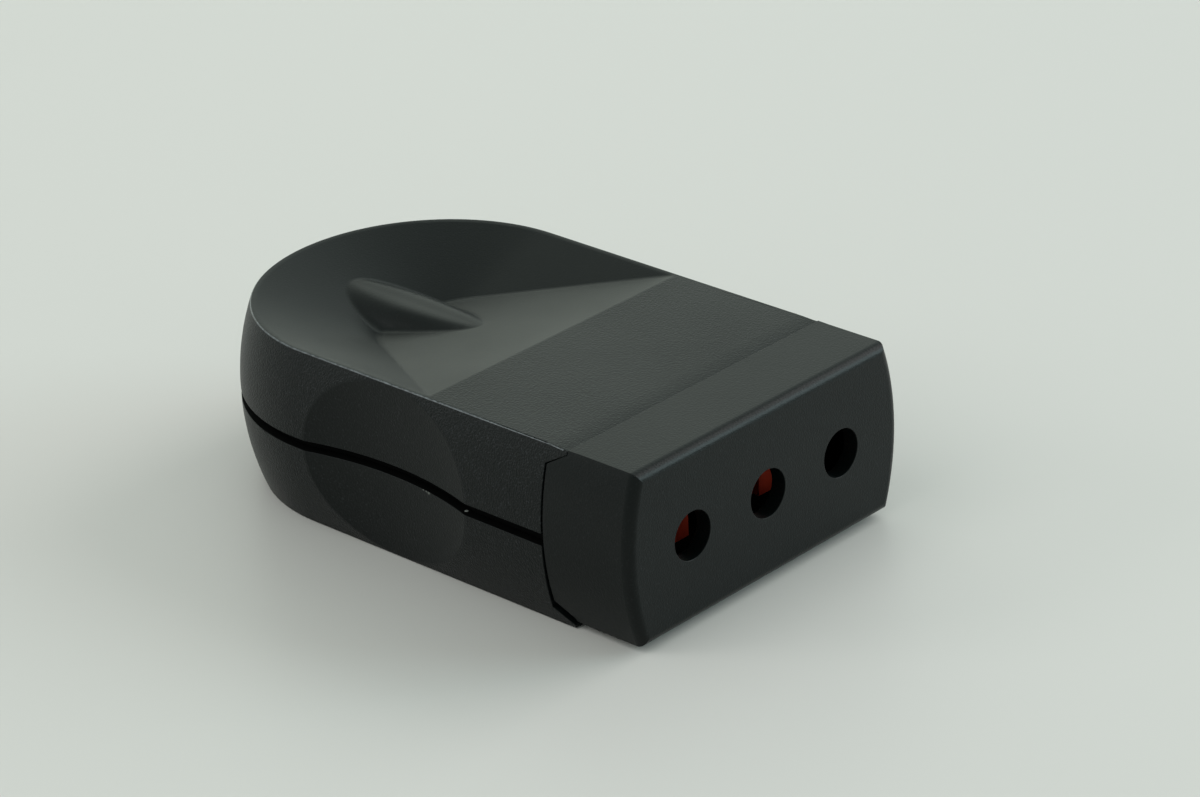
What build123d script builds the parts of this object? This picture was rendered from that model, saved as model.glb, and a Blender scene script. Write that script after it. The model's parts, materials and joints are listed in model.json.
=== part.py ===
from build123d import *
from math import cos, radians, sqrt, tan
import os

# Inline power socket for a flexible lead: a front cap with three pin holes and two half shells.
# Millimetres. X runs across, -Y is the mating face, +Y the lead's end, Z is up.
# The origin is the middle of the footprint, on the surface that the lower shell rests on.
# Sizes named "from_front" or "depth" along the length are counted from the mating face.

# Outer body
body_length = 56.4
body_width = 34.5
cap_height = 15.9
flank_bulge = 1.46
wall = 1.8
shell_gap = 0.65
gap_taper = 0.32
edge_relief = 0.18

# Scooped top, mirrored on the underside
band_length = 23.8
ramp_angle = 11.0
dish_angle = 17.8
rim_land = 0.35
valley_round = 1.5
crease_round = 1.5

# Round ridge over the lead's channel, its crest below the flat band
ridge_drop = 1.78
ridge_radius = 4.6
ridge_blend = 1.0

# Finger recesses in the flanks
recess_from_front = 28.3
recess_depth = 1.4
recess_radius = 34.0

# Front cap and its joint with the shells
cap_side_depth = 9.6
cap_top_depth = 7.6
cap_corner = 1.6
cap_corner_land = 0.4
side_seam = 0.2
top_seam = 0.05
groove_radius = 6.0
groove_depth = 0.1
face_wall = 1.5
face_round = 0.9
cap_wall = 1.6

# Sleeve of the cap inside the shells, held by a bead on each flank
sleeve_wall = 1.2
sleeve_clearance = 0.1
sleeve_step_from_front = 5.0
sleeve_step_length = 2.0
sleeve_end_from_front = 12.5
bead_height = 0.6
bead_length = 1.4
bead_width = 6.0
bead_clearance = 0.15

# Lip of the lower shell inside the upper shell
lip_inset = 1.0
lip_wall = 0.6
lip_height = 1.6
lip_clearance = 0.15

# Pin holes and contacts, for plugs with 4 mm pins
pin_radius = 2.0
pin_from_flank = 7.75
hole_clearance = 0.2
contact_clearance = 0.05
contact_wall = 0.5
contact_from_front = 6.0
contact_bore_length = 9.0
slit_width = 0.5
slit_length = 6.5
spring_wall = 0.4
spring_length = 2.4
spring_setback = 2.0
spring_gap = 1.0
fit_clearance = 0.05

# Red carrier for the contacts
carrier_from_front = 5.0
carrier_length = 12.0
carrier_clearance = 0.6
carrier_height = 7.4
carrier_back_wall = 3.0
carrier_round = 0.4
relief_width = 9.0
relief_depth = 4.0
flange_length = 2.4
flange_height = 1.2
flange_reach = 0.7
shell_rib = 1.2

# Clamp blocks of the terminals and the contact tails in them
block_size = 6.4
block_length = 7.0
tunnel_width = 4.2
tunnel_height = 3.1
tail_thickness = 1.0
tail_side_clearance = 0.1
tail_overhang = 0.5

# Screws: shank radius, head radius, head height
terminal_screw = (1.45, 2.3, 1.5)
clamp_screw = (1.2, 2.2, 1.4)
housing_screw = (1.45, 2.7, 1.8)
screw_clearance = 0.05
driver_slot_width = 0.6
driver_slot_depth = 0.7
terminal_screw_setback = 4.0
terminal_head_lift = 0.3
terminal_tip_drop = 0.9

# Bosses that carry the housing screws
boss_from_flank = 6.95
boss_from_front = 30.0
upper_boss_radius = 3.0
lower_boss_radius = 4.0
head_seat_height = 4.2
head_clearance = 0.3
housing_screw_length = 8.0
screw_end_room = 0.6

# Clamp for the lead and the inlet that the lead leaves by
clamp_from_front = 37.0
clamp_spacing = 12.4
clamp_width = 5.0
clamp_thickness = 1.6
clamp_length = 17.4
clamp_grip_radius = 2.9
clamp_arch_wall = 1.2
clamp_drop = 1.0
clamp_post_radius = 2.3
clamp_screw_length = 5.2
saddle_length = 4.0
saddle_width = 9.0
inlet_radius = 3.6
inlet_wall = 1.7
inlet_length = 7.4

# Derived frame
half_height = cap_height / 2
half_width = body_width / 2
rim_half = half_width - flank_bulge
flank_radius = (half_height**2 + flank_bulge**2) / (2 * flank_bulge)
flank_centre = half_width - flank_radius
front = -body_length / 2
rear = body_length / 2
tail_centre = rear - half_width
axis_z = shell_gap + half_height
skirt = shell_gap + gap_taper
dish_half = rim_half - rim_land
ramp_slope = tan(radians(ramp_angle))
dish_slope = tan(radians(dish_angle))
dish_bottom = half_height - dish_slope * dish_half
band_end = front + band_length
ramp_over_centre = half_height - ramp_slope * (tail_centre - band_end)
ridge_z = half_height - ridge_drop - ridge_radius
valley_y = tail_centre + (ramp_over_centre - dish_bottom) / (ramp_slope + dish_slope)
beyond = body_width

# Derived seats
hole_radius = pin_radius + hole_clearance
contact_bore = pin_radius + contact_clearance
contact_radius = contact_bore + contact_wall
spring_inner = contact_radius + fit_clearance
spring_outer = spring_inner + spring_wall
carrier_front = front + carrier_from_front
carrier_rear = carrier_front + carrier_length
carrier_half = carrier_height / 2
sleeve_inset = wall + sleeve_clearance
sleeve_inner = sleeve_inset + sleeve_wall
flange_front = carrier_rear - flange_length
block_rear = carrier_rear + block_length
tunnel_floor = axis_z - tunnel_height / 2
inlet_z = axis_z - shell_gap / 2
clamp_seat = axis_z - clamp_drop
clamp_y = front + clamp_from_front
merge_inset = lip_inset / 2
boss_x = half_width - boss_from_flank
boss_y = front + boss_from_front
inlet_front = rear - inlet_length
inlet_half = inlet_radius + inlet_wall
pin_pitch = half_width - pin_from_flank
pole_x = {"left": -pin_pitch, "earth": 0.0, "right": pin_pitch}


def flank_x(inset, height):
    """Half width of the barrel, drawn in by inset, at a height above its middle."""
    return flank_centre + sqrt((flank_radius - inset) ** 2 - height**2)


def half_section(inset, bottom):
    """Half of the body's cross section: an arched flank outside, a straight drafted one when drawn in."""
    top = half_height - inset
    high = (flank_x(inset, top), top)
    if inset:
        draft = (half_width - inset - high[0]) / top
        low = (half_width - inset - draft * bottom, bottom)
        flank = Line(low, high)
    else:
        low = (flank_x(inset, bottom), bottom)
        flank = ThreePointArc(low, (flank_x(inset, top / 2), top / 2), high)
    outline = [Line((0, bottom), low), flank, Line(high, (0, top)), Line((0, top), (0, bottom))]
    return Plane.XZ * make_face(outline)


def run_and_tail(profile):
    """A half profile carried along both flanks from the front, then round the tail."""
    straight = extrude(profile + mirror(profile, Plane.YZ), amount=tail_centre - front, dir=(0, -1, 0))
    tail = revolve(profile, Axis.Z, 180)
    return Pos(0, tail_centre, 0) * (straight + tail)


def plan(inset):
    """Outline of the body at its middle, seen from above and drawn in by inset."""
    half = half_width - inset
    outline = Pos(0, (front + tail_centre) / 2) * Rectangle(2 * half, tail_centre - front)
    outline += Pos(0, tail_centre) * Circle(half)
    for side in (-1, 1):
        recess_x = side * (half_width - recess_depth + recess_radius)
        outline -= Pos(recess_x, front + recess_from_front) * Circle(recess_radius + inset)
    return outline


def slab(y_start, y_end, x_half, z_low, z_high):
    """Box between two planes along each axis, centred across the width."""
    size = (2 * x_half, y_end - y_start, z_high - z_low)
    return Pos(0, (y_start + y_end) / 2, (z_low + z_high) / 2) * Box(*size)


def rod(x, z, radius, y_start, y_end):
    """Cylinder along the length."""
    return Pos(x, (y_start + y_end) / 2, z) * Rot(90, 0, 0) * Cylinder(radius, y_end - y_start)


def post(x, y, radius, z_low, z_high):
    """Cylinder along the height."""
    return Pos(x, y, (z_low + z_high) / 2) * Cylinder(radius, z_high - z_low)


def scoop(inset):
    """The space over the dish and the ramp, both lowered by inset along their normals."""
    dish_low = dish_bottom - inset / cos(radians(dish_angle))
    dish_high = dish_low + dish_slope * beyond
    dish_outline = Polyline((0, dish_low), (beyond, dish_high), (0, dish_high), close=True)
    ramp_start = band_end - wall
    ramp_high = half_height + ramp_slope * wall - inset / cos(radians(ramp_angle))
    ramp_low = ramp_high - ramp_slope * (rear - ramp_start)
    ramp_outline = Polyline(
        (ramp_start, ramp_high),
        (rear, ramp_low),
        (rear, ramp_high + beyond),
        (ramp_start, ramp_high + beyond),
        close=True,
    )
    over_ramp = extrude(Plane.YZ * make_face(ramp_outline), amount=beyond, both=True)
    return run_and_tail(Plane.XZ * make_face(dish_outline)) & over_ramp


def half_form(inset):
    """Upper half of the body, drawn in by inset, with its middle at Z = 0 and no ridge."""
    form = run_and_tail(half_section(inset, -skirt))
    for side in (-1, 1):
        recess_x = side * (half_width - recess_depth + recess_radius)
        form -= Pos(recess_x, front + recess_from_front, 0) * Cylinder(recess_radius + inset, beyond)
    return form - scoop(inset)


def ramp_face(form):
    """The sloping flat of the scoop: of all flat faces it leans furthest to the rear."""
    return form.faces().filter_by(GeomType.PLANE).sort_by(lambda face: face.normal_at().Y)[-1]


def outer_form():
    """Outside of the upper half: soft valleys in the scoop, and the ridge blended into it."""
    form = half_form(0)
    form = fillet(ramp_face(form).edges() - ramp_face(form).edges().filter_by(Axis.X), valley_round)
    form = fillet(ramp_face(form).edges().filter_by(Axis.X), crease_round)
    ridge = rod(0, ridge_z, ridge_radius, band_end, rear - 2 * wall)
    form += ridge & slab(front, rear, half_width, 0, half_height)
    crest = form.faces().sort_by_distance((0, valley_y, half_height - ridge_drop))[0]
    return fillet(crest.edges(), ridge_blend)


def cap_region(side_gap, top_gap):
    """Side view of the cap's share of the body: further back on the flanks than at top and bottom."""
    side_y = front + cap_side_depth + side_gap
    top_y = front + cap_top_depth + top_gap
    corner_low = half_height - cap_corner
    corner_high = half_height - cap_corner_land
    outline = Polyline(
        (front - beyond, beyond),
        (top_y, beyond),
        (top_y, corner_high),
        (side_y, corner_low),
        (side_y, -corner_low),
        (top_y, -corner_high),
        (top_y, -beyond),
        (front - beyond, -beyond),
        close=True,
    )
    return extrude(Plane.YZ * make_face(outline), amount=beyond, both=True)


def seam_groove():
    """Shallow round hollow across the top, over the joint of cap and shell."""
    groove_z = half_height - groove_depth + groove_radius
    return Pos(0, front + cap_top_depth, groove_z) * Rot(0, 90, 0) * Cylinder(groove_radius, 2 * beyond)


def bead(clearance):
    """Blocks that stand out of the cap's sleeve on both flanks."""
    bead_end = front + sleeve_end_from_front - sleeve_wall / 2
    half = half_width - wall + bead_height + clearance
    low = bead_width / 2 + clearance
    block = slab(bead_end - bead_length - clearance, bead_end + clearance, half, -low, low)
    return block - extrude(plan(sleeve_inset + sleeve_wall / 2), amount=beyond, both=True)


def shell_blank():
    """Hollow upper half with its front cut to meet the cap, before its inside is fitted out."""
    hollow = outer_form() - half_form(wall)
    hollow -= rod(0, ridge_z, ridge_radius - wall, band_end, inlet_front)
    hollow -= cap_region(side_seam, top_seam)
    hollow -= seam_groove()
    return hollow - bead(bead_clearance)


def carrier_ribs(edge):
    """Two ribs across a shell, one each side of the carrier's flange."""
    ribs = slab(flange_front - shell_rib, flange_front, beyond, edge, half_height)
    return ribs + slab(carrier_rear, carrier_rear + shell_rib, beyond, edge, half_height)


def upper_shell(blank):
    shell = blank - slab(front, rear, beyond, -beyond, edge_relief)
    shell -= extrude(plan(lip_inset - lip_clearance), amount=lip_height + lip_clearance)
    inside = carrier_ribs(carrier_half)
    inside += slab(inlet_front, rear, inlet_half, 0, half_height)
    for side in (-1, 1):
        inside += post(side * boss_x, boss_y, upper_boss_radius, 0, half_height)
    shell += inside & half_form(merge_inset)
    shell -= rod(0, inlet_z - axis_z, inlet_radius, inlet_front - wall, rear + wall)
    screw_end = head_seat_height + housing_screw_length + screw_end_room - axis_z
    for side in (-1, 1):
        shell -= post(side * boss_x, boss_y, housing_screw[0] + screw_clearance, -wall, screw_end)
    return Pos(0, 0, axis_z) * shell


def parting_cut():
    """Everything above the lower shell's edge, which drops a little towards the cap."""
    low = half_height - edge_relief - gap_taper / 2
    high = half_height - edge_relief + gap_taper / 2
    outline = Polyline((front, low), (rear, high), (rear, beyond), (front, beyond), close=True)
    return extrude(Plane.YZ * make_face(outline), amount=beyond, both=True)


def lower_shell(blank):
    to_place = Pos(0, 0, half_height)
    inner_limit = to_place * mirror(half_form(merge_inset), Plane.XY)
    shell = to_place * mirror(blank, Plane.XY) - parting_cut()
    lip = plan(lip_inset) - plan(lip_inset + lip_wall)
    lip = Pos(0, 0, half_height - lip_height) * extrude(lip, amount=axis_z - half_height + 2 * lip_height)
    lip -= Pos(0, 0, half_height) * (cap_region(side_seam, top_seam) + bead(bead_clearance))
    lip -= slab(inlet_front - wall, rear, inlet_half + lip_clearance, 0, beyond)
    inside = Pos(0, 0, half_height) * mirror(carrier_ribs(carrier_half - shell_gap), Plane.XY)
    inside += slab(inlet_front, rear, inlet_half, 0, axis_z)
    inside += slab(clamp_y - saddle_length / 2, clamp_y + saddle_length / 2, saddle_width / 2, 0, clamp_seat)
    for side in (-1, 1):
        inside += post(side * clamp_spacing / 2, clamp_y, clamp_post_radius, 0, clamp_seat)
    inside -= parting_cut()
    for side in (-1, 1):
        inside += post(side * boss_x, boss_y, lower_boss_radius, 0, axis_z)
    shell += inside & inner_limit
    shell += lip
    shell -= rod(0, inlet_z, inlet_radius, inlet_front - wall, rear + wall)
    shell -= rod(0, clamp_seat, clamp_grip_radius, clamp_y - saddle_length, clamp_y + saddle_length)
    screw_end = clamp_seat + clamp_thickness - clamp_screw_length - screw_end_room
    for side in (-1, 1):
        shell -= post(side * boss_x, boss_y, housing_screw[0] + screw_clearance, 0, axis_z + wall)
        shell -= post(side * boss_x, boss_y, housing_screw[1] + head_clearance, -wall, head_seat_height)
        clamp_x = side * clamp_spacing / 2
        shell -= post(clamp_x, clamp_y, clamp_screw[0] + screw_clearance, screw_end, axis_z)
    return shell


def barrel(inset, y_start, y_end):
    """Length of the whole barrel section, top and bottom, drawn in by inset."""
    quarter = half_section(inset, 0)
    half = quarter + mirror(quarter, Plane.YZ)
    return Pos(0, y_end, 0) * extrude(half + mirror(half, Plane.XY), amount=y_end - y_start, dir=(0, -1, 0))


def front_cap():
    cap = barrel(0, front, front + cap_side_depth) & cap_region(0, 0)
    cap = fillet(cap.faces().sort_by(Axis.Y)[0].edges(), face_round)
    cap -= seam_groove() + mirror(seam_groove(), Plane.XY)
    cap -= barrel(cap_wall, front + face_wall, rear)
    step_start = front + sleeve_step_from_front
    step_end = step_start + sleeve_step_length
    sleeve = barrel(cap_wall / 2, step_start, step_end)
    sleeve += barrel(sleeve_inset, step_end, front + sleeve_end_from_front)
    sleeve += bead(0)
    cap += sleeve - barrel(sleeve_inner, front, rear)
    for x in pole_x.values():
        cap -= rod(x, 0, hole_radius, front - wall, front + 2 * face_wall)
    return Pos(0, 0, axis_z) * cap


def contact_carrier():
    low, high = axis_z - carrier_half, axis_z + carrier_half
    side = flank_x(sleeve_inner, half_height - sleeve_inner) - carrier_clearance
    carrier = slab(carrier_front, carrier_rear, side, low, high)
    carrier = fillet(carrier.edges().filter_by(Axis.Y), carrier_round)
    reach = side + flange_reach
    carrier += slab(flange_front, carrier_rear, reach, low - flange_height, high + flange_height)
    carrier -= slab(carrier_front, carrier_front + relief_depth, relief_width / 2, low, high)
    for x in pole_x.values():
        pocket_end = carrier_rear - carrier_back_wall
        carrier -= rod(x, axis_z, spring_outer + fit_clearance, carrier_front, pocket_end)
        carrier -= rod(x, axis_z, contact_radius + fit_clearance, carrier_front, carrier_rear)
    return carrier


def contact(x):
    """Slit sleeve for a pin, closed at its back, with a flat tail for the terminal."""
    start = front + contact_from_front
    sleeve = rod(x, axis_z, contact_radius, start, carrier_rear)
    sleeve -= rod(x, axis_z, contact_bore, start, start + contact_bore_length)
    slits = slab(start, start + slit_length, slit_width / 2, -beyond, beyond)
    slits += slab(start, start + slit_length, beyond, -slit_width / 2, slit_width / 2)
    slits &= slab(start, rear, 2 * contact_radius, -contact_radius, contact_radius)
    sleeve -= Pos(x, 0, axis_z) * slits
    tail_half = tunnel_width / 2 - tail_side_clearance
    tail_top = tunnel_floor + tail_thickness
    tail = slab(carrier_rear, block_rear + tail_overhang, tail_half, tunnel_floor, tail_top)
    return sleeve + Pos(x, 0, 0) * tail


def contact_spring(x):
    """Open ring that presses the sleeve's fingers together."""
    start = front + contact_from_front + spring_setback
    ring = rod(x, axis_z, spring_outer, start, start + spring_length)
    ring -= rod(x, axis_z, spring_inner, start, start + spring_length)
    return ring - Pos(x, 0, axis_z) * slab(start, start + spring_length, spring_gap / 2, 0, spring_outer)


def terminal(x):
    """Clamp block with a tunnel for tail and wire, and a hole for its screw."""
    half = block_size / 2
    block = slab(carrier_rear, block_rear, half, axis_z - half, axis_z + half)
    block -= slab(carrier_rear, block_rear, tunnel_width / 2, tunnel_floor, tunnel_floor + tunnel_height)
    screw_y = carrier_rear + terminal_screw_setback
    block -= post(0, screw_y, terminal_screw[0] + screw_clearance, axis_z, axis_z + half)
    return Pos(x, 0, 0) * block


def screw(size, x, y, under_head, length, up=1):
    """Slotted screw whose head sits at one level, with its shank pointing away from the head."""
    shank_radius, head_radius, head_height = size
    head = Pos(0, 0, head_height / 2) * Cylinder(head_radius, head_height)
    slot = Box(2 * head_radius, driver_slot_width, 2 * driver_slot_depth)
    body = head + Pos(0, 0, -length / 2) * Cylinder(shank_radius, length)
    body -= Pos(0, 0, head_height) * slot
    return Pos(x, y, under_head) * (body if up > 0 else Rot(180, 0, 0) * body)


def terminal_screws():
    under_head = axis_z + block_size / 2 + terminal_head_lift
    tip = tunnel_floor + tunnel_height - terminal_tip_drop
    y = carrier_rear + terminal_screw_setback
    return [screw(terminal_screw, x, y, under_head, under_head - tip) for x in pole_x.values()]


def cord_clamp():
    """Bar across the lead, arched over it, on the two posts of the lower shell."""
    start, end = clamp_y - clamp_width / 2, clamp_y + clamp_width / 2
    bar = slab(start, end, clamp_length / 2, clamp_seat, clamp_seat + clamp_thickness)
    arch = rod(0, clamp_seat, clamp_grip_radius + clamp_arch_wall, start, end)
    bar += arch & slab(start, end, beyond, clamp_seat, clamp_seat + beyond)
    bar -= rod(0, clamp_seat, clamp_grip_radius, start, end)
    for side in (-1, 1):
        bar -= post(side * clamp_spacing / 2, clamp_y, clamp_screw[0] + screw_clearance, 0, axis_z + beyond)
    return bar


def cord_clamp_screws():
    under_head = clamp_seat + clamp_thickness
    places = (-clamp_spacing / 2, clamp_spacing / 2)
    return [screw(clamp_screw, x, clamp_y, under_head, clamp_screw_length) for x in places]


def housing_screws():
    places = (-boss_x, boss_x)
    return [screw(housing_screw, x, boss_y, head_seat_height, housing_screw_length, up=-1) for x in places]


blank = shell_blank()
nodes = {
    "upper_shell": upper_shell(blank),
    "lower_shell": lower_shell(blank),
    "front_cap": front_cap(),
    "contact_carrier": contact_carrier(),
    "terminal_screws": Compound(terminal_screws()),
    "cord_clamp": cord_clamp(),
    "cord_clamp_screws": Compound(cord_clamp_screws()),
    "housing_screws": Compound(housing_screws()),
}
for pole, x in pole_x.items():
    nodes[f"{pole}_contact"] = contact(x)
    nodes[f"{pole}_contact_spring"] = contact_spring(x)
    nodes[f"{pole}_terminal"] = terminal(x)

os.makedirs("parts", exist_ok=True)
for name, shape in nodes.items():
    export_step(shape, f"parts/{name}.step")
    print(name, len(shape.solids()), round(shape.volume, 1))
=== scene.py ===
# %% [markdown]
# # An inline power socket
# This socket sits on the end of a flexible lead: two black half shells, a front cap with three pin
# holes, and the contacts, terminals and screws inside. The imported solids are the fixed frame, in
# metres, and every piece below sits where its solid sits. The first cell loads them.

# %% Load the frame
import json
from math import atan2, cos, hypot, radians, sin

import bpy
from mathutils import Matrix, Vector

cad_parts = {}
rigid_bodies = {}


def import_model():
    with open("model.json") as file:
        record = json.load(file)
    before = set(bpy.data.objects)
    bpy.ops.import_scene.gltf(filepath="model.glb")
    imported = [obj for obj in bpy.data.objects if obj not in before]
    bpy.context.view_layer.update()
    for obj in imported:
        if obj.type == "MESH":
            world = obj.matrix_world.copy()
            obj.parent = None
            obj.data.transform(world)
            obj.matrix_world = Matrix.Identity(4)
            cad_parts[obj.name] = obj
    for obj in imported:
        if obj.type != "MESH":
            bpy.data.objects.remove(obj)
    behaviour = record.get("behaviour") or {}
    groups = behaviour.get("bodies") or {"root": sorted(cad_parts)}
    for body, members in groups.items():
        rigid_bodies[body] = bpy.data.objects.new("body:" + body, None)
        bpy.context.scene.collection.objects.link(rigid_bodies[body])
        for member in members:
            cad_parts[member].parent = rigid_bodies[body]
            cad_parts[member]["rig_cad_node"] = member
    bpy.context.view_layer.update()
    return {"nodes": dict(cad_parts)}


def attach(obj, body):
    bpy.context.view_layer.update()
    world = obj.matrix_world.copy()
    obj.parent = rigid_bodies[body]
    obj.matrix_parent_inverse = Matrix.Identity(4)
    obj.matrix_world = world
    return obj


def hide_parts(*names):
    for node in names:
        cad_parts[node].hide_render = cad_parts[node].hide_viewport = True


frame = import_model()
MM = 0.001

# %% [markdown]
# ## Working as by hand
# An operator acts on everything that is selected, so each step first selects one object alone, as a
# click in the viewport does. Edit mode starts with nothing selected, for the same reason. A modifier
# could stay live on the piece, but one that is added and applied at once leaves a plain mesh, and the
# next operator can work on that.

# %% Select and change one object
def select_only(piece):
    bpy.ops.object.select_all(action="DESELECT")
    piece.select_set(True)
    bpy.context.view_layer.objects.active = piece


def edit(piece, mode):
    select_only(piece)
    bpy.ops.object.mode_set(mode="EDIT")
    bpy.ops.mesh.select_mode(type=mode)
    bpy.ops.mesh.select_all(action="DESELECT")


def apply_modifier(piece, kind, **settings):
    select_only(piece)
    modifier = piece.modifiers.new(kind.title(), kind)
    for key, value in settings.items():
        setattr(modifier, key, value)
    bpy.ops.object.modifier_apply(modifier=modifier.name)


select_only(frame["nodes"]["front_cap"])
print("selected", bpy.context.active_object.name)

# %% [markdown]
# ## Picking by a test
# By hand, the faces of a rim or a crest are clicked one by one. A script picks them by a test on their
# place or direction instead, which still holds when the mesh changes. The marks are set in object mode,
# and edit mode reads them. Which faces lie beside an edge has to be looked up from the faces.

# %% Pick faces and edges
def pick_faces(piece, wanted):
    edit(piece, "FACE")
    bpy.ops.object.mode_set(mode="OBJECT")
    for face in piece.data.polygons:
        face.select = wanted(face)
    bpy.ops.object.mode_set(mode="EDIT")


def pick_edges(piece, wanted):
    edit(piece, "EDGE")
    bpy.ops.object.mode_set(mode="OBJECT")
    for edge in piece.data.edges:
        edge.select = wanted(edge)
    bpy.ops.object.mode_set(mode="EDIT")


def faces_beside(piece):
    beside = {}
    for face in piece.data.polygons:
        for key in face.edge_keys:
            beside.setdefault(key, []).append(face)
    return beside


print("front_cap has", len(faces_beside(frame["nodes"]["front_cap"])), "edges")

# %% [markdown]
# ## A copy of a solid to work on
# The big forms are already in the solids: barrel flanks, dish, ramp, ridge and recesses. Modelling
# them anew would lose their true shape, so each visible piece starts as a copy of its solid's mesh.
# That mesh is loose triangles, and a bevel needs edges that two faces share. Merging the doubles
# joins them, and the option on sharp edges keeps the solid's own shading.

# %% Copy a node and merge its triangles
JOIN_WITHIN = 0.002


def merged_copy(node, name):
    select_only(frame["nodes"][node])
    bpy.ops.object.duplicate()
    piece = bpy.context.active_object
    piece.name = piece.data.name = name
    piece.parent = None
    del piece["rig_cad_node"]
    edit(piece, "EDGE")
    bpy.ops.mesh.select_all(action="SELECT")
    bpy.ops.mesh.remove_doubles(threshold=JOIN_WITHIN * MM, use_sharp_edge_from_normals=True)
    bpy.ops.object.mode_set(mode="OBJECT")
    return piece


print("corners closer than", JOIN_WITHIN, "mm are joined")

# %% [markdown]
# ## Which corners are round, and by how much
# A moulded corner is never razor sharp: the tool's own radius stays on it, and that radius is what
# catches the light along a rim. By hand the edges would be chosen with Select Sharp Edges and given a
# bevel weight. Here each weight holds a radius in millimetres, so one Bevel modifier of 1 mm rounds
# every corner by its own amount. Inward corners are left out, because they show no light line.

# %% Weigh the outward corners
SHARP_FROM = 38


def weigh_corners(piece, edge_round):
    edit(piece, "EDGE")
    bpy.ops.mesh.edges_select_sharp(sharpness=radians(SHARP_FROM))
    bpy.ops.object.mode_set(mode="OBJECT")
    beside = faces_beside(piece)
    weights = piece.data.attributes.new("bevel_weight_edge", "FLOAT", "EDGE")
    for edge in piece.data.edges:
        if edge.select:
            one, other = beside[edge.key]
            middle = sum((piece.data.vertices[index].co for index in edge.vertices), Vector()) / 2
            if (other.center - one.center).dot(one.normal) < 0:
                weights.data[edge.index].value = edge_round(middle / MM)


print("corners over", SHARP_FROM, "degrees are rounded")

# %% [markdown]
# ## The soft fall at the seam
# Where the shells meet the cap, the flat top of the real socket dips a little: plastic shrinks there
# as it cools, and the seam shows as a soft dark valley and not as a drawn line. A few rows are cut
# across the top with Bisect. Their points are then lowered along a parabola that starts level, and
# the normals are worked out from the same parabola, so that the fall shades smoothly.

# %% Lower the top towards the seam
TOP, TOP_ZONE, UPWARD = 16.549, 16.3, 0.9
SEAM_FRONT, SEAM, SEAM_BACK, SEAM_DROP = -22.6, -20.58, -18.3, 0.09


def ease_seam(piece, cuts):
    for place in cuts:
        pick_faces(piece, lambda face: face.normal.z > UPWARD and face.center.z > TOP_ZONE * MM)
        bpy.ops.mesh.bisect(plane_co=(0, place * MM, 0), plane_no=(0, 1, 0))
        bpy.ops.object.mode_set(mode="OBJECT")
    normals = [corner.vector.copy() for corner in piece.data.corner_normals]
    heights = {}
    for loop in piece.data.loops:
        at = piece.data.vertices[loop.vertex_index].co / MM
        if at.z > TOP_ZONE and SEAM_FRONT < at.y < SEAM_BACK and normals[loop.index].z > UPWARD:
            share = (SEAM_BACK - at.y) / (SEAM_BACK - SEAM) if at.y > SEAM else 0.0
            slope = 2 * SEAM_DROP * share / (SEAM_BACK - SEAM)
            normals[loop.index] = Vector((0, -slope, 1)).normalized()
            heights[loop.vertex_index] = TOP - SEAM_DROP * share * share
    for index, height in heights.items():
        piece.data.vertices[index].co.z = height * MM
    piece.data.normals_split_custom_set(normals)


print("the top falls", SEAM_DROP, "mm over", round(SEAM_BACK - SEAM, 2), "mm")

# %% [markdown]
# ## The ridge and its shoulders
# Over the lead's channel runs a ridge that fades out in the ramp. Its solid is part of a cylinder, but
# the light on the real one shows a flatter back with rounder shoulders. The points of the crest are
# found by their distance from the cylinder's axis, and the outline that they leave in the dish gives
# the ridge's half width at each place along it.

# %% Find the crest and its outline
RIDGE_AXIS, RIDGE_RADIUS, RIDGE_HALF = 10.17, 4.6, 3.25
RIDGE_FROM, RIDGE_ABOVE, LEANING = 4, 12.5, 0.5
NEAR_CREST, ON_CREST = 0.03, 0.005


def is_crest(piece, face, slack=NEAR_CREST):
    def on_cylinder(index):
        at = piece.data.vertices[index].co / MM
        away = abs(hypot(at.x, at.z - RIDGE_AXIS) - RIDGE_RADIUS)
        return at.y > RIDGE_FROM and at.z > RIDGE_ABOVE and away < slack
    return face.normal.z > LEANING and all(map(on_cylinder, face.vertices))


def crest_points(piece, slack=NEAR_CREST):
    crest = [face for face in piece.data.polygons if is_crest(piece, face, slack)]
    return {index for face in crest for index in face.vertices}


def ridge_outline(piece):
    places = (piece.data.vertices[index].co / MM for index in crest_points(piece, ON_CREST))
    return sorted({(at.y, abs(at.x)) for at in places})


def half_width(outline, y):
    for (y0, x0), (y1, x1) in zip(outline, outline[1:]):
        if y0 <= y <= y1:
            return x0 if y1 == y0 else x0 + (x1 - x0) * (y - y0) / (y1 - y0)
    return 0.0


print("ridge crest at", RIDGE_AXIS + RIDGE_RADIUS, "mm")

# %% [markdown]
# ## The ridge's new section
# A sculpt brush could swell the shoulders, but it would be hard to keep even on both sides. A formula
# does it: the cylinder's arch plus a swell that rises to a peak part of the way out and is gone at
# the edge. The swell shrinks with the ridge, so the nose stays thin. The slope of the same formula
# gives the normals.

# %% Height and normal of the new crest
SHOULDER, PEAK, FALL, NOSE = 0.2, 0.56, 1.5, 0.05
STEP_ALONG, STEP_ACROSS = 0.1, 0.02


def ease(share):
    share = min(1.0, max(0.0, share))
    return share * share * (3 - 2 * share)


def crest_height(outline, x, y):
    wide = half_width(outline, y)
    share = abs(x) / wide if wide > NOSE else 1.0
    swell = ease(share / PEAK) - max(0.0, (share - PEAK) / (1 - PEAK)) ** FALL
    arch = RIDGE_AXIS + (RIDGE_RADIUS ** 2 - x * x) ** 0.5
    return arch + SHOULDER * (wide / RIDGE_HALF) ** 2 * swell


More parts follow.
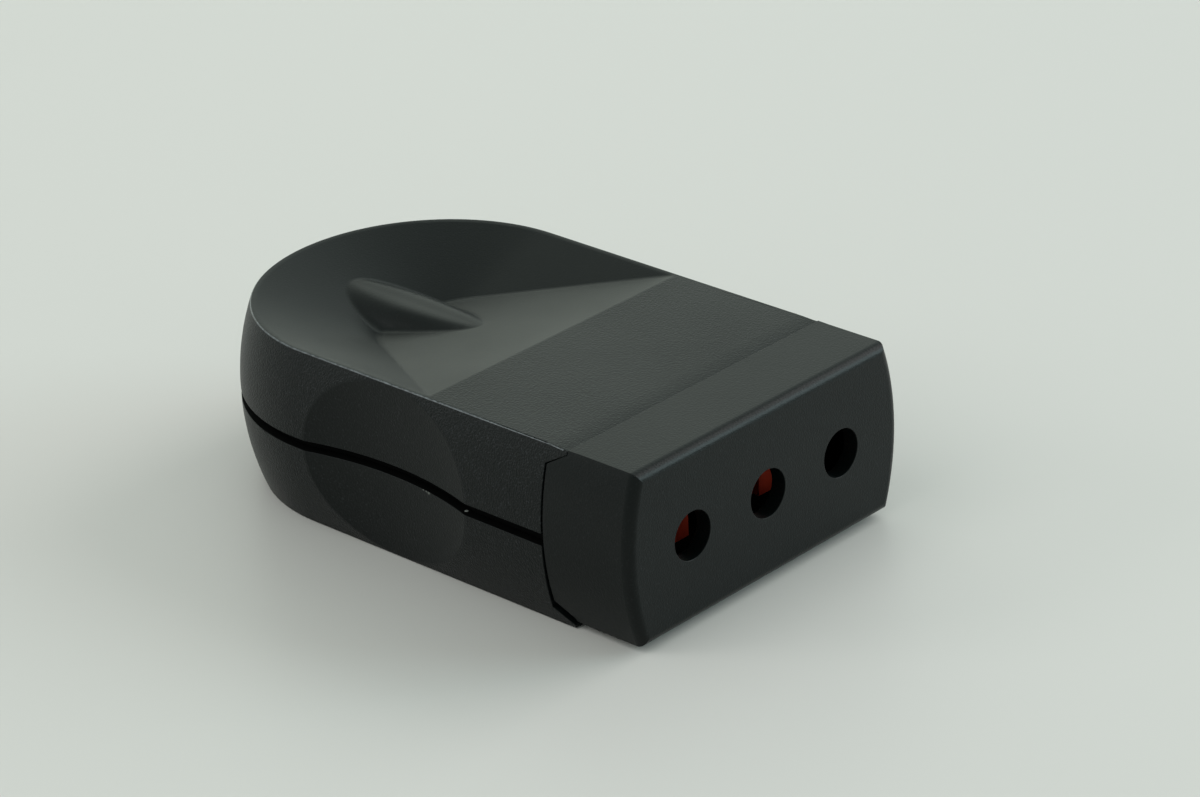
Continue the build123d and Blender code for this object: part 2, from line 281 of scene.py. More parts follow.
def crest_normal(outline, x, y):
    fore, aft = (crest_height(outline, x, y + step) for step in (STEP_ALONG, -STEP_ALONG))
    right, left = (crest_height(outline, x + step, y) for step in (STEP_ACROSS, -STEP_ACROSS))
    across, along = (right - left) / (2 * STEP_ACROSS), (fore - aft) / (2 * STEP_ALONG)
    return Vector((-across, -along, 1)).normalized()


print("shoulders swell by up to", SHOULDER, "mm")

# %% [markdown]
# ## Moving the ridge's points
# The crest has too few points for a new section, so Bisect slices it along and across first. Points
# well inside the outline move to the new height. Those near it stay, with a normal half way between
# old and new, so that the ridge runs into the dish without a line. Large faces are left alone: their
# corners belong to the ramp.

# %% Slice and reshape the ridge
SLICES_ACROSS = (0.5, 1, 1.4, 1.7, 2, 2.3, 2.6, 2.9)
SLICES_ALONG = range(6, 22)
SMALL_FACE = 0.7
INWARD, WELL_INSIDE, AT_OUTLINE = 0.9, 0.97, 1.02


def slice_ridge(piece):
    cuts = [((x * side, 0, 0), (1, 0, 0)) for x in SLICES_ACROSS for side in (-1, 1)]
    cuts += [((0, y, 0), (0, 1, 0)) for y in SLICES_ALONG]
    for place, across in cuts:
        pick_faces(piece, lambda face: is_crest(piece, face))
        bpy.ops.mesh.bisect(plane_co=[part * MM for part in place], plane_no=across)
        bpy.ops.object.mode_set(mode="OBJECT")


def square_ridge(piece):
    outline = ridge_outline(piece)
    slice_ridge(piece)
    normals = [corner.vector.copy() for corner in piece.data.corner_normals]
    points = crest_points(piece)
    small = [face for face in piece.data.polygons if face.area < SMALL_FACE * MM * MM]
    moved = {}
    for corner in (corner for face in small for corner in face.loop_indices):
        index = piece.data.loops[corner].vertex_index
        at = piece.data.vertices[index].co / MM
        wide = half_width(outline, at.y)
        if index in points and normals[corner].z > LEANING and abs(at.x) < AT_OUTLINE * wide:
            if abs(at.x) < WELL_INSIDE * wide:
                normals[corner] = crest_normal(outline, at.x, at.y)
                moved[index] = crest_height(outline, at.x, at.y)
            else:
                inner = crest_normal(outline, INWARD * at.x, at.y)
                normals[corner] = (inner + normals[corner]).normalized()
    for index, height in moved.items():
        piece.data.vertices[index].co.z = height * MM
    piece.data.normals_split_custom_set(normals)
    print(piece.name, "ridge points moved", len(moved))


print("slices", 2 * len(SLICES_ACROSS) + len(SLICES_ALONG))

# %% [markdown]
# ## Room for the bevel
# Along the top rim the solid's triangles can be thinner than the round that is to go there, and a bevel
# would fold over them. Dissolving the long edge of such a sliver joins it to the flat face beside it,
# as Dissolve Edges does by hand. Only faces that lie level with each other are joined, so the shape
# stays as it is.

# %% Join slivers along the rim
RIM_ABOVE, RIM_FRONT, RIM_BACK = 16.0, -20.2, -4.45
THIN, LEVEL = 0.3, 1.0


def join_slivers(piece):
    mesh, beside, chosen = piece.data, faces_beside(piece), set()

    def length(key):
        return (mesh.vertices[key[0]].co - mesh.vertices[key[1]].co).length

    for face in mesh.polygons:
        if face.center.z > RIM_ABOVE * MM and RIM_FRONT * MM < face.center.y < RIM_BACK * MM:
            longest = max(face.edge_keys, key=length)
            one, other = beside[longest]
            level = one.normal.angle(other.normal, 0.0) < radians(LEVEL)
            if level and 2 * face.area / length(longest) < THIN * MM:
                chosen.add(longest)
    if chosen:
        pick_edges(piece, lambda edge: edge.key in chosen)
        bpy.ops.mesh.dissolve_edges(use_verts=False, use_face_split=False)
        bpy.ops.object.mode_set(mode="OBJECT")
    print(piece.name, "slivers joined", len(chosen))


print("faces thinner than", THIN, "mm are joined")

# %% [markdown]
# ## Round edges and true shading
# Bevelled triangles shade badly: smooth normals bend across the wide faces and leave streaks. So a
# second copy of the solid, the guide, keeps the true normals, and a Data Transfer hands them to the
# wide faces alone. The bevels, which the modifier marks with a second material slot, keep their own
# smooth shading. The guide is deleted when it has served.

# %% Make one piece from one solid
SMOOTH_BELOW = 50


def rounded_copy(node, name, edge_round, steps=3, reshape=None):
    guide = merged_copy(node, name + "_guide")
    piece = merged_copy(node, name)
    if reshape:
        reshape(guide)
        reshape(piece)
        join_slivers(piece)
    weigh_corners(piece, edge_round)
    edit(piece, "FACE")
    bpy.ops.mesh.customdata_custom_splitnormals_clear()
    bpy.ops.object.mode_set(mode="OBJECT")
    piece.data.materials.append(None)
    apply_modifier(piece, "BEVEL", limit_method="WEIGHT", width=1 * MM, segments=steps, loop_slide=False,
                   use_clamp_overlap=False, material=1)
    bpy.ops.object.shade_smooth_by_angle(angle=radians(SMOOTH_BELOW))
    wide = [face for face in piece.data.polygons if face.material_index == 0]
    flats = piece.vertex_groups.new(name="flats")
    flats.add(sorted({vertex for face in wide for vertex in face.vertices}), 1.0, "REPLACE")
    apply_modifier(piece, "DATA_TRANSFER", object=guide, use_loop_data=True, vertex_group=flats.name,
                   data_types_loops={"CUSTOM_NORMAL"}, loop_mapping="NEAREST_POLYNOR")
    piece.vertex_groups.clear()
    select_only(guide)
    bpy.ops.object.delete()
    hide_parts(node)
    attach(piece, "root")
    print(name, len(piece.data.polygons), "faces,", len(wide), "of them outside the rounded edges")
    return piece


print("edges under", SMOOTH_BELOW, "degrees shade smooth")

# %% [markdown]
# ## The three mouldings
# Upper shell, lower shell and cap are what the eye meets. The rim round the dish is handled most and
# gets the widest round, the edge that the socket stands on nearly as much, and the parting edges a
# fine one. Bosses and ribs inside keep their sharp corners: no light reaches them.

# %% Round the shells and the cap
RIM_ROUND, FOOT_ROUND, FINE_ROUND = 0.11, 0.1, 0.05
LIP_ABOVE, FOOT_BELOW, SHELL_FRONT = 9.5, 0.1, -20
INSIDE = ((-14.6, 14.6), (SHELL_FRONT, 20), (0.5, 12))
UPPER_ROWS, CAP_ROWS = (SEAM_BACK, -18.85, -19.6), (-21.9,)


def on_top_rim(at):
    return at.z > RIM_ABOVE and at.y > RIM_FRONT


def is_inside(at):
    return all(low < part < high for part, (low, high) in zip(at, INSIDE))


def upper_round(at):
    if on_top_rim(at):
        return RIM_ROUND
    return 0.0 if is_inside(at) else FINE_ROUND


def lower_round(at):
    if is_inside(at) or at.z > LIP_ABOVE:
        return 0.0
    return FOOT_ROUND if at.z < FOOT_BELOW and at.y > SHELL_FRONT else FINE_ROUND


def shape_upper(piece):
    ease_seam(piece, UPPER_ROWS)
    square_ridge(piece)


def shape_cap(piece):
    ease_seam(piece, CAP_ROWS)


upper = rounded_copy("upper_shell", "upper_moulding", upper_round, steps=4, reshape=shape_upper)
lower = rounded_copy("lower_shell", "lower_moulding", lower_round)
cap = rounded_copy("front_cap", "cap_moulding", lambda at: FINE_ROUND, reshape=shape_cap)

# %% [markdown]
# ## Small tools for finishes
# Every finish below is made of nodes, with no picture. Two are wanted again and again: noise, which
# gives a surface its chance, and a change of range, which says how strong that chance shows. Clicking
# them together in the Shader Editor is the usual way. These helpers add and link them by name. Object
# coordinates tie a pattern to the piece, so that it needs no unwrapping.

# %% Nodes by name
def new_material(name):
    material = bpy.data.materials.new(name)
    material.use_nodes = True
    tree = material.node_tree
    return material, tree, tree.nodes["Principled BSDF"]


def object_place(tree):
    return tree.nodes.new("ShaderNodeTexCoord").outputs["Object"]


def noise(tree, vector, scale, detail=2.0, rough=0.5):
    node = tree.nodes.new("ShaderNodeTexNoise")
    for key, number in (("Scale", scale), ("Detail", detail), ("Roughness", rough)):
        node.inputs[key].default_value = number
    tree.links.new(vector, node.inputs["Vector"])
    return node.outputs["Fac"]


def spread(tree, value, low, high, to_low, to_high):
    node = tree.nodes.new("ShaderNodeMapRange")
    for key, number in zip(("From Min", "From Max", "To Min", "To Max"), (low, high, to_low, to_high)):
        node.inputs[key].default_value = number
    tree.links.new(value, node.inputs["Value"])
    return node.outputs["Result"]


print("first node tools:", noise.__name__, spread.__name__)

# %% [markdown]
# ## Sums, mixes and bumps
# Where a finish shows depends on place and direction, and that is worked out with Math nodes. A Mix
# blends two colours, each either written down or coming from another node. A Bump tilts the shading
# without moving the mesh, which is right for grain that is far finer than any face.

# %% Sums, mixes and bumps
def arithmetic(tree, operation, first, second=0.0):
    node = tree.nodes.new("ShaderNodeMath")
    node.operation = operation
    for socket, value in zip(node.inputs, (first, second)):
        if isinstance(value, (int, float)):
            socket.default_value = value
        else:
            tree.links.new(value, socket)
    return node.outputs["Value"]


def product(tree, first, second):
    return arithmetic(tree, "MULTIPLY", first, second)


def split_axes(tree, vector):
    node = tree.nodes.new("ShaderNodeSeparateXYZ")
    tree.links.new(vector, node.inputs["Vector"])
    return [node.outputs[axis] for axis in "XYZ"]


def tint(tree, factor, first, second):
    node = tree.nodes.new("ShaderNodeMix")
    node.data_type = "RGBA"
    tree.links.new(factor, node.inputs["Factor"])
    for key, colour in (("A", first), ("B", second)):
        if isinstance(colour, tuple):
            node.inputs[key].default_value = (*colour, 1)
        else:
            tree.links.new(colour, node.inputs[key])
    return node.outputs["Result"]


def bump(tree, height, depth):
    node = tree.nodes.new("ShaderNodeBump")
    node.inputs["Distance"].default_value = depth
    tree.links.new(height, node.inputs["Height"])
    return node.outputs["Normal"]


print("further node tools:", arithmetic.__name__, split_axes.__name__, tint.__name__, bump.__name__)

# %% [markdown]
# ## Where the grain is
# The shells come from a spark-eroded mould, which leaves a fine, even grain. In the finger recesses and
# the dish the mould was smoother, so the grain fades there, and on the steep flanks it is strongest.
# Each recess is cut by an upright cylinder, so a circle seen from above marks its edge. The upward
# part of the normal tells the top from the flanks. A painted mask would do too, but it would need a
# map of the surface.

# %% Masks for the grain
RECESS_X, RECESS_Y, RECESS_RADIUS, RECESS_BLEND = 49.85, 0.1, 34.01, 0.05
RECESS_GRAIN, FLANK_GRAIN, DISH_LOSS = 0.45, 1.8, 0.75
DISH_FROM, DISH_TO = -4.6, -4.2
STEEP, FLAT = 0.3, 0.6


def recess_mask(tree, x, y):
    across = arithmetic(tree, "SUBTRACT", arithmetic(tree, "ABSOLUTE", x), RECESS_X * MM)
    along = arithmetic(tree, "SUBTRACT", y, RECESS_Y * MM)
    squares = arithmetic(tree, "ADD", product(tree, across, across), product(tree, along, along))
    edge, end = RECESS_RADIUS * MM, (RECESS_RADIUS + RECESS_BLEND) * MM
    return spread(tree, arithmetic(tree, "SQRT", squares), edge, end, RECESS_GRAIN, 1.0)


# The same mask scales the painted glints, so they too are strongest on the steep flanks and fade in the
# recesses and the dish.
def grain_and_glint_mask(tree, place):
    x, y = split_axes(tree, place)[:2]
    upward = split_axes(tree, tree.nodes.new("ShaderNodeNewGeometry").outputs["Normal"])[2]
    dish = product(tree, spread(tree, upward, STEEP, FLAT, 0.0, 1.0),
                   spread(tree, y, DISH_FROM * MM, DISH_TO * MM, 0.0, DISH_LOSS))
    outer = product(tree, recess_mask(tree, x, y), spread(tree, upward, STEEP, FLAT, FLANK_GRAIN, 1.0))
    return product(tree, outer, arithmetic(tree, "SUBTRACT", 1.0, dish))


print("recess grain", RECESS_GRAIN, "flank grain", FLANK_GRAIN)

# %% [markdown]
# ## Nicks at the gap
# Where a blade once opened the shells, the plastic is bruised, and bruised plastic turns pale. There
# are a few such specks on the lower edge of the gap and one on the ledge inside it. Each is a small
# ball in space: the nearer a point is to its middle, the paler it gets. The mesh needs no change for
# marks of a fifth of a millimetre.

# %% Pale spots
EDGE_NICKS = (((-16.13, -4.22, 7.68), 0.19), ((-16.08, -3.9, 7.71), 0.12), ((-16.03, -3.5, 7.73), 0.11))
LEDGE_NICKS = (((-16.6, -9.15, 7.72), 0.2),)
EDGE_PALE, LEDGE_PALE = (0.1, 0.105, 0.095), (0.3, 0.31, 0.29)
NICK_CORE = 0.6


def whiten(tree, place, colour, nicks, pale):
    for spot, reach in nicks:
        away = tree.nodes.new("ShaderNodeVectorMath")
        away.operation = "DISTANCE"
        away.inputs[1].default_value = [part * MM for part in spot]
        tree.links.new(place, away.inputs[0])
        near = spread(tree, away.outputs["Value"], NICK_CORE * reach * MM, reach * MM, 1.0, 0.0)
        colour = tint(tree, near, colour, pale)
    return colour


print("nicks", len(EDGE_NICKS) + len(LEDGE_NICKS))

# %% [markdown]
# ## Black plastic
# Shells and cap are black thermoplastic, satin and not matt. The colour is nearly even, so the look
# lies in the gloss. One noise makes the grain as bump, a second paints paler specks into the colour as
# painted glints where grains would catch the light, and a slow third varies the roughness a little, as
# handling does. The cap is plainer and glossier than the shells, so the same recipe serves with less
# grain and fewer painted glints.

# %% The grained shells and the satin cap
# The second colour is a painted highlight: pale specks standing in for light caught by the grain.
BLACK, PAINTED_GLINT = (0.0024, 0.0038, 0.0037), (0.018, 0.020, 0.022)
SLOW_SCALE, GRAIN_SCALE, GLINT_SCALE = 70, 6200, 5200
CAP_GLINTS = 0.35


def black_plastic(name, gloss, grain_depth, rough_low, rough_high, shells):
    material, tree, shader = new_material(name)
    shader.inputs["Specular IOR Level"].default_value = gloss
    place = object_place(tree)
    slow = noise(tree, place, SLOW_SCALE, 3.0)
    grain_and_glint = spread(tree, slow, 0.2, 0.8, 0.7, 1.0)
    if shells:
        grain_and_glint = product(tree, grain_and_glint, grain_and_glint_mask(tree, place))
    # Painted glints: pale specks in the colour, standing in for light caught by the grain.
    painted_glints = spread(tree, noise(tree, place, GLINT_SCALE, 1.0), 0.6, 0.76, 0.0, 1.0)
    colour = tint(tree, product(tree, painted_glints, grain_and_glint if shells else CAP_GLINTS), BLACK, PAINTED_GLINT)
    if shells:
        colour = whiten(tree, place, colour, EDGE_NICKS, EDGE_PALE)
    grain = product(tree, noise(tree, place, GRAIN_SCALE, 1.0), grain_and_glint)
    tree.links.new(colour, shader.inputs["Base Color"])
    tree.links.new(bump(tree, grain, grain_depth * MM), shader.inputs["Normal"])
    tree.links.new(spread(tree, slow, 0.3, 0.7, rough_low, rough_high), shader.inputs["Roughness"])
    return material


shell_black = black_plastic("grained_black_plastic", 0.19, 0.045, 0.36, 0.42, True)
cap_black = black_plastic("satin_black_plastic", 0.17, 0.02, 0.3, 0.36, False)
print(shell_black.name, cap_black.name)

# %% [markdown]
# ## Red, brass and steel
# Through the pin holes the red carrier shows. Contacts and terminals are brass, turned or pressed, with
# fine marks along the working direction. Springs and screws are steel, the screws plated. One recipe
# serves all: noise stretched by a Mapping node, so that the marks have a direction, drives colour,
# roughness and bump together.

# %% The other finishes
MARK_SCALE = 900


def marked(name, dark, light, metal, rough, stretch, depth):
    material, tree, shader = new_material(name)
    shader.inputs["Metallic"].default_value = metal
    mapping = tree.nodes.new("ShaderNodeMapping")
    mapping.inputs["Scale"].default_value = stretch
    tree.links.new(object_place(tree), mapping.inputs["Vector"])
    marks = noise(tree, mapping.outputs["Vector"], MARK_SCALE, 4.0, 0.6)
    tree.links.new(tint(tree, marks, dark, light), shader.inputs["Base Color"])
    tree.links.new(spread(tree, marks, 0.3, 0.7, *rough), shader.inputs["Roughness"])
    tree.links.new(bump(tree, marks, depth * MM), shader.inputs["Normal"])
    return material


red = marked("red_carrier_plastic", (0.3, 0.02, 0.008), (0.42, 0.034, 0.013), 0.0, (0.3, 0.4),
             (1, 1, 1), 0.006)
brass = marked("drawn_brass", (0.62, 0.43, 0.17), (0.8, 0.6, 0.28), 1.0, (0.26, 0.4), (1, 0.12, 1), 0.004)
spring_steel = marked("spring_steel", (0.34, 0.34, 0.35), (0.5, 0.5, 0.51), 1.0, (0.25, 0.38),
                      (1, 0.2, 1), 0.004)
plated = marked("zinc_plated_steel", (0.52, 0.53, 0.52), (0.68, 0.68, 0.65), 1.0, (0.22, 0.36),
                (1, 1, 0.3), 0.004)
print(red.name, brass.name, spring_steel.name, plated.name)

# %% [markdown]
# ## Scuffed rim with a painted highlight, and painted shade in the gap
# Handling polishes and greys the outermost rim first. Its thin, broken light line is partly that wear
# and partly a painted highlight in pale grey. The parting gap is deep and unlit. Its lip is as moulded,
# matt and unworn, and its colour is painted darker than the shells' black as painted shade. Both could
# be a painted texture. Noise between two colours gives them without a picture, and only the numbers
# differ.

# %% Rubbed and matt plastic
MOTTLE_DEPTH, MOTTLE_ROUGH = 0.01, 0.06


# Noise between two colours. It serves the rim's wear with painted highlight and the gap's painted shade.
def mottled_plastic(name, dark, light, scale, patches, rough, gloss, nicks=()):
    material, tree, shader = new_material(name)
    shader.inputs["Specular IOR Level"].default_value = gloss
    place = object_place(tree)
    mottle = spread(tree, noise(tree, place, scale, 3.0), *patches, 0.0, 1.0)
    colour = whiten(tree, place, tint(tree, mottle, dark, light), nicks, LEDGE_PALE)
    roughness = spread(tree, mottle, 0.0, 1.0, rough - MOTTLE_ROUGH, rough + MOTTLE_ROUGH)
    tree.links.new(colour, shader.inputs["Base Color"])
    tree.links.new(roughness, shader.inputs["Roughness"])
    tree.links.new(bump(tree, mottle, MOTTLE_DEPTH * MM), shader.inputs["Normal"])
    return material


# Pale grey on the rim's bevel: partly real wear, partly a painted highlight.
rim_wear_and_highlight = mottled_plastic("rim_wear_and_painted_highlight_plastic", (0.045, 0.05, 0.053), (0.16, 0.175, 0.185), 3000,
                         (0.36, 0.7), 0.34, 0.5)
# Darker than the shells' black: painted shade for the deep, unlit parting gap.
gap_painted_shade = mottled_plastic("gap_painted_shade_plastic", (0.0012, 0.0013, 0.0013), (0.002, 0.0021, 0.002), 900,
                             (0.3, 0.7), 0.8, 0.05, LEDGE_NICKS)
print(rim_wear_and_highlight.name, gap_painted_shade.name)

# %% [markdown]
# ## Finishing the mouldings
# A piece can carry two finishes, one in each material slot, and each face says which it takes. By hand
# the faces would be selected and assigned. Here a test picks them: the upper half of the rim's bevels
# for the wear and painted highlight, and all that stands above the lower shell's edge for the painted
# shade of the gap.

# %% Assign the black finishes
GAP_ABOVE, LEDGE_ABOVE = 7.95, 7.4
RIM_STEEP, RIM_FLAT = 0.2, 0.9


def finish(piece, material, second=None, where=None):
    picked = [bool(second) and where(face) for face in piece.data.polygons]
    piece.data.materials[0] = material
    if second:
        piece.data.materials[1] = second
    else:
        piece.data.materials.pop(index=1)
    for face, chosen in zip(piece.data.polygons, picked):
        face.material_index = int(chosen)
    print(piece.name, material.name, sum(picked), "faces in a second finish")


# Picks the rim bevel faces that carry the wear and the painted highlight.
def rim_wear_and_highlight_faces(face):
    on_bevel = face.material_index == 1 and RIM_STEEP < face.normal.z < RIM_FLAT
    return on_bevel and on_top_rim(face.center / MM)


# Picks the faces that take the gap's painted shade.
def in_the_gap(face):
    height = face.center.z / MM
    return height > GAP_ABOVE or height > LEDGE_ABOVE and face.normal.z > UPWARD


finish(upper, shell_black, rim_wear_and_highlight, rim_wear_and_highlight_faces)
finish(lower, shell_black, gap_painted_shade, in_the_gap)
finish(cap, cap_black)

# %% [markdown]
# ## The pieces inside
# A red carrier holds three slit brass sleeves with spring rings round them, each sleeve's tail runs into
# a clamp block, and a bar grips the lead. They keep their solids' form. Stamped and moulded parts have
# fine broken edges too, so the same copy with round edges serves, with a smaller radius on thin metal.

# %% Round and finish the inner pieces
BLOCK_EDGE, SHEET_EDGE = 0.08, 0.04

inner_finish = {"contact_carrier": (red, "red_plastic", BLOCK_EDGE),
                "cord_clamp": (cap_black, "black_plastic", BLOCK_EDGE)}
for pole in ("left", "earth", "right"):
    inner_finish[pole + "_contact"] = (brass, "contact_brass", SHEET_EDGE)
    inner_finish[pole + "_contact_spring"] = (spring_steel, "spring_steel", SHEET_EDGE)
    inner_finish[pole + "_terminal"] = (brass, "contact_brass", BLOCK_EDGE)
for node, (material, slot, radius) in inner_finish.items():
    piece = rounded_copy(node, node + "_piece", lambda at: radius, steps=2)
    finish(piece, material)

# %% [markdown]
# ## A screw's head and shank
# All seven screws are plated and slotted, with a low domed head on a threaded shank. A cylinder makes
# the head. Its underside is inset and extruded into the shank, and once more into a tapered tip, so
# that head, shank and tip are one closed skin. Two cylinders pushed together would be quicker, but
# they would leave faces inside.

# %% One skin for head and shank
TIP, TIP_TAPER, THREAD_CORE = 0.3, 0.7, 0.78
HEAD_SIDES = 32


def headed_shank(radius, head_radius, head_height, length):
    bpy.ops.object.select_all(action="DESELECT")
    bpy.ops.mesh.primitive_cylinder_add(vertices=HEAD_SIDES, radius=head_radius * MM,
                                        depth=head_height * MM, location=(0, 0, head_height * MM / 2))
    screw = bpy.context.active_object
    bpy.ops.object.transform_apply(location=True, rotation=True, scale=True)
    pick_faces(screw, lambda face: face.normal.z < -UPWARD)
    bpy.ops.mesh.inset(thickness=(head_radius - THREAD_CORE * radius) * MM)
    bpy.ops.mesh.extrude_region_move(TRANSFORM_OT_translate={"value": (0, 0, (TIP - length) * MM)})
    bpy.ops.mesh.extrude_region_move(TRANSFORM_OT_translate={"value": (0, 0, -TIP * MM)})
    bpy.ops.transform.resize(value=(TIP_TAPER, TIP_TAPER, 1), center_override=(0, 0, -length * MM))
    bpy.ops.object.mode_set(mode="OBJECT")
    return screw


print("heads have", HEAD_SIDES, "sides")

# %% [markdown]
# ## The thread and the dome
# A thread can be faked with bump, but a real one is hardly more work. The shank's long edges are
# subdivided into rings, and each point is pushed out where the helix passes it. That keeps the skin
# closed, which a Screw modifier laid over a shank would not. The dome is a wide bevel on the head's
# top edge.

# %% Cut the thread and round the head
ROWS, DOME, DOME_STEPS = 6, 0.35, 5
HELIX_WIDTH, RUN_OUT, UNDER_HEAD, CLOSE = 0.4, 0.05, 0.2, 0.01


def heights(piece, edge):
    return [piece.data.vertices[index].co.z / MM for index in edge.vertices]


def round_head(screw, head_height):
    pick_edges(screw, lambda edge: min(heights(screw, edge)) > head_height - CLOSE)
    bpy.ops.mesh.bevel(offset=DOME * head_height * MM, segments=DOME_STEPS)
    bpy.ops.object.mode_set(mode="OBJECT")


def cut_thread(screw, radius, length, pitch):
    shank, core = length - TIP, THREAD_CORE * radius

    def runs_along(edge):
        one, other = heights(screw, edge)
        return abs(abs(one - other) - shank) < CLOSE

    pick_edges(screw, runs_along)
    bpy.ops.mesh.subdivide(number_cuts=round(shank / pitch * ROWS) - 1)
    bpy.ops.object.mode_set(mode="OBJECT")
    for vertex in screw.data.vertices:
        x, y, z = vertex.co / MM
        if RUN_OUT - shank < z < -UNDER_HEAD:
            phase = (atan2(y, x) / radians(360) - z / pitch) % 1
            out = core + (radius - core) * max(0.0, 1 - abs(phase - 0.5) / HELIX_WIDTH)
            vertex.co.xy *= out / hypot(x, y)


print("thread has", ROWS, "rings of points in each turn")

# %% [markdown]
# ## The driver slot
# In the factory a saw cuts the slot across the head. A Boolean does the same here: a bar as wide as the
# blade is taken out of the head, and then deleted. The dome and the thread come first, so that the
# bevel meets no slot.

# %% One finished screw
SLOT_WIDTH, SLOT_DEPTH = 0.6, 0.7
SCREW_SMOOTH = 35


def slotted_screw(radius, head_radius, head_height, length, pitch):
    screw = headed_shank(radius, head_radius, head_height, length)
    round_head(screw, head_height)
    cut_thread(screw, radius, length, pitch)
    bpy.ops.object.select_all(action="DESELECT")
    bpy.ops.mesh.primitive_cube_add(size=1, location=(0, 0, head_height * MM),
                                    scale=(3 * head_radius * MM, SLOT_WIDTH * MM, 2 * SLOT_DEPTH * MM))
    bar = bpy.context.active_object
    apply_modifier(screw, "BOOLEAN", operation="DIFFERENCE", object=bar, solver="EXACT")
    select_only(bar)
    bpy.ops.object.delete()
    select_only(screw)
    bpy.ops.object.shade_smooth_by_angle(angle=radians(SCREW_SMOOTH))
    screw.data.materials.append(plated)
    return screw


print("slot", SLOT_WIDTH, "by", SLOT_DEPTH, "mm")

# %% [markdown]
# ## Screws in their places
# There are three kinds: short ones in the terminals, thinner ones on the lead's clamp, and long ones
# that hold the shells together from below. The sizes are the shank's and the head's radius, the head's
# height, the length and the pitch. Each kind is modelled once at the origin with its head up. The
# copies get their own mesh and are moved, and the housing screws turned over, before the place is
# applied to the mesh.

# %% Model each kind once and copy it
POLES = {"left": -9.5, "earth": 0.0, "right": 9.5}
CLAMP_SIDES, HOUSING_SIDES = {"left": -6.2, "right": 6.2}, {"left": -10.3, "right": 10.3}

screw_kinds = {
    "terminal_screws": {"sizes": (1.45, 2.3, 1.5, 2.85, 0.5), "y": -7.2, "z": 12.1, "turned": 0,
                        "x": POLES},
    "cord_clamp_screws": {"sizes": (1.2, 2.2, 1.4, 5.2, 0.6), "y": 8.8, "z": 9.2, "turned": 0,
                          "x": CLAMP_SIDES},
    "housing_screws": {"sizes": (1.45, 2.7, 1.8, 8.0, 0.8), "y": 1.8, "z": 4.2, "turned": 180,
                       "x": HOUSING_SIDES},
}
for node, kind in screw_kinds.items():
    model = slotted_screw(*kind["sizes"])
    for side, x in kind["x"].items():
        select_only(model)
        bpy.ops.object.duplicate()
        piece = bpy.context.active_object
        piece.name = piece.data.name = node[:-1] + "_" + side
        piece.location = Vector((x, kind["y"], kind["z"])) * MM
        piece.rotation_euler = (radians(kind["turned"]), 0, 0)
        bpy.ops.object.transform_apply(location=True, rotation=True, scale=True)
        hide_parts(node)
        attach(piece, "root")
    print(node, len(model.data.polygons), "faces each,", len(kind["x"]), "copies")
    select_only(model)
    bpy.ops.object.delete()

# %% [markdown]
# ## The table
# The socket lies on a pale table with a slight sheen. A large plane does, a hair below the underside,
# because two faces in one plane would flicker where they meet. Slow noise varies its colour and
# roughness a little, so that it doesn't look like a cut-out.

# %% Floor
FLOOR_SIZE, FLOOR_DROP, FLOOR_GLOSS, CLOUD_SCALE = 6, 0.02, 0.25, 9
PALE_LOW, PALE_HIGH = (0.66, 0.63, 0.606), (0.68, 0.65, 0.626)

bpy.ops.object.select_all(action="DESELECT")
bpy.ops.mesh.primitive_plane_add(size=FLOOR_SIZE, location=(0, 0, -FLOOR_DROP * MM))
floor = bpy.context.active_object
floor.name = "table_top"
bpy.ops.object.transform_apply(location=True, rotation=True, scale=True)
pale, tree, shader = new_material("pale_table")
cloud = noise(tree, object_place(tree), CLOUD_SCALE, 2.0)
tree.links.new(tint(tree, cloud, PALE_LOW, PALE_HIGH), shader.inputs["Base Color"])
tree.links.new(spread(tree, cloud, 0.3, 0.7, 0.38, 0.44), shader.inputs["Roughness"])
shader.inputs["Specular IOR Level"].default_value = FLOOR_GLOSS
floor.data.materials.append(pale)
print("floor", floor.dimensions[:])

# %% [markdown]
# ## Light from the room
# Black satin plastic shows mostly what it mirrors, so the room matters more than the lamps. The world is
# soft light, a little dimmer overhead, with two brighter places: a low, wide window on the far side,
# which the flat top and the ramp mirror, and a small patch higher up on the right, which the dish
# mirrors. Each is a range of the angle to one direction. A picture of a room would do it too, but it
# would be a file.

# %% World
ROOM_TINT, WINDOW_TINT = (0.87, 1.0, 0.95), (0.91, 1.0, 0.88)
CEILING, WINDOW, SKYLIGHT = (0.15, 0.52, 0.84), (0.45, 0.875, 0.17), (0.62, 0.36, 0.7)

world = bpy.data.worlds.new("soft_room")
bpy.context.scene.world = world
world.use_nodes = True
tree = world.node_tree
direction = tree.nodes.new("ShaderNodeTexCoord").outputs["Generated"]


def facing(towards):
    node = tree.nodes.new("ShaderNodeVectorMath")
    node.operation = "DOT_PRODUCT"
    node.inputs[1].default_value = Vector(towards).normalized()
    tree.links.new(direction, node.inputs[0])
    return node.outputs["Value"]


ceiling = spread(tree, facing(CEILING), 0.76, 0.88, 0.58, 0.44)
window = spread(tree, facing(WINDOW), 0.83, 0.95, 0.0, 0.78)
skylight = spread(tree, facing(SKYLIGHT), 0.95, 1.0, 0.0, 1.0)
light = arithmetic(tree, "ADD", arithmetic(tree, "ADD", ceiling, window), skylight)
background = tree.nodes["Background"]
tree.links.new(light, background.inputs["Strength"])
tree.links.new(tint(tree, window, ROOM_TINT, WINDOW_TINT), background.inputs["Color"])
print("world", world.name)

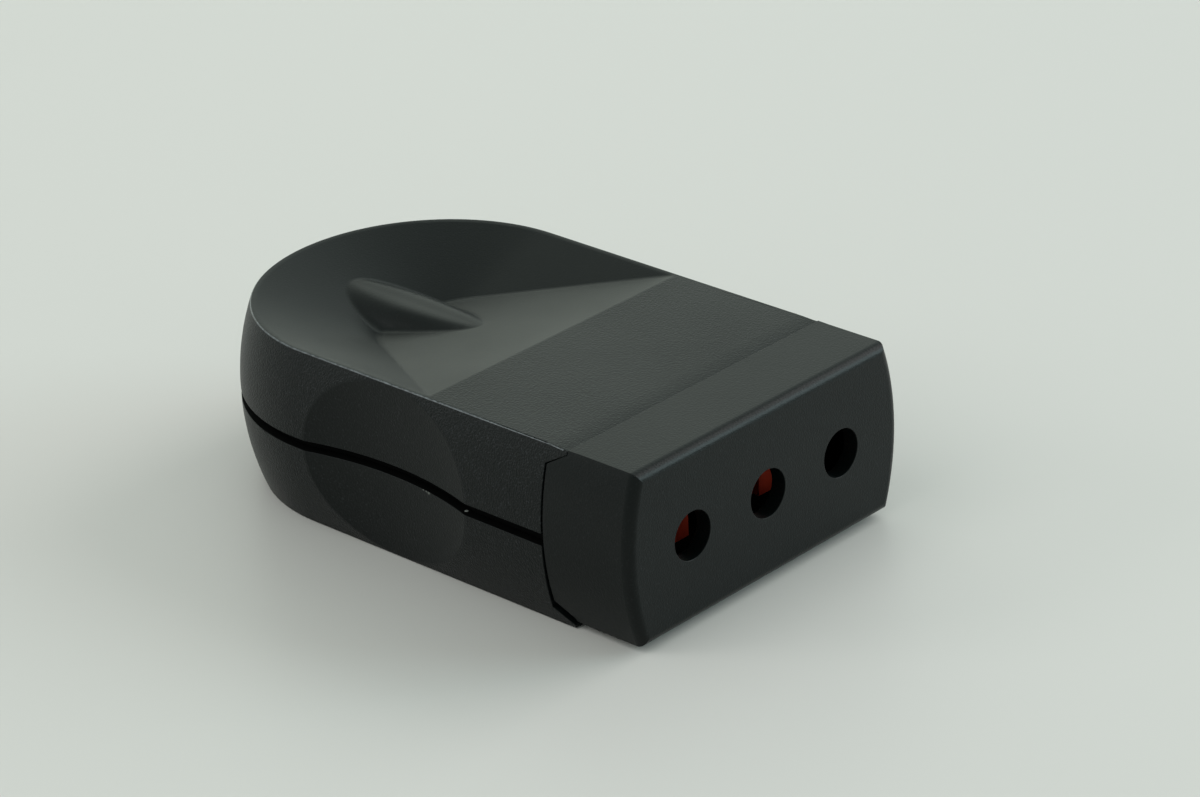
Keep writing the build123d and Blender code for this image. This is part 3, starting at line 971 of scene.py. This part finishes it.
# %% [markdown]
# ## Lamps
# Four soft lamps do what the room can't. The largest, on the right, gives the shadow its side. One low
# in front draws the light line along the cap's upper edge, one high on the left opens the near flank,
# and one behind on the left lights the round tail. A sun lamp would be simpler, but its shadows are
# hard: these are wide and weak. The Standard view keeps colours as they are written.

# %% Soft lamps
def soft_lamp(name, place, size, power, colour=(1, 1, 1)):
    bpy.ops.object.select_all(action="DESELECT")
    bpy.ops.object.light_add(type="AREA", location=place)
    lamp = bpy.context.active_object
    lamp.name = name
    lamp.data.size = size
    lamp.data.energy = power
    lamp.data.color = colour
    lamp.rotation_euler = Vector(place).to_track_quat("Z", "Y").to_euler()
    return lamp


lamps = [soft_lamp("left_lamp", (-0.6, 0.15, 0.85), 0.6, 1.8),
         soft_lamp("right_lamp", (0.95, -0.3, 0.55), 0.7, 4.5),
         soft_lamp("front_lamp", (0.65, -0.7, 0.33), 0.45, 3.2, (0.74, 0.97, 1.0)),
         soft_lamp("rear_left_lamp", (-0.75, 0.68, 0.44), 0.35, 1.5)]
bpy.context.scene.view_settings.view_transform = "Standard"
print("lamps", [lamp.data.energy for lamp in lamps])

# %% [markdown]
# ## The camera
# The camera stands where the photograph was taken. Its place, turn and lens come from a fit of the
# solid's corners and hole centres to the picture. A turn given as azimuth, elevation and roll is easier
# to read than Euler angles, so three axes are built from them and set as a matrix.

# %% Camera
AZIMUTH, ELEVATION, ROLL = radians(-46.237), radians(25.725), radians(-2.758)
STAND, LENS, SENSOR = (-232.959, -232.444, 167.257), 125.156, 36

back = Vector((sin(AZIMUTH) * cos(ELEVATION), -cos(AZIMUTH) * cos(ELEVATION), sin(ELEVATION)))
right = Vector((cos(AZIMUTH), sin(AZIMUTH), 0))
up = back.cross(right)
turn = Matrix((cos(ROLL) * right + sin(ROLL) * up, cos(ROLL) * up - sin(ROLL) * right, back)).transposed()
bpy.ops.object.select_all(action="DESELECT")
bpy.ops.object.camera_add(location=[part * MM for part in STAND], rotation=turn.to_euler())
camera = bpy.context.active_object
camera.name = "photo_camera"
camera.data.sensor_width = SENSOR
camera.data.lens = LENS
camera.data.clip_start = 0.01
bpy.context.scene.camera = camera
print("camera", camera.location[:], camera.data.lens)
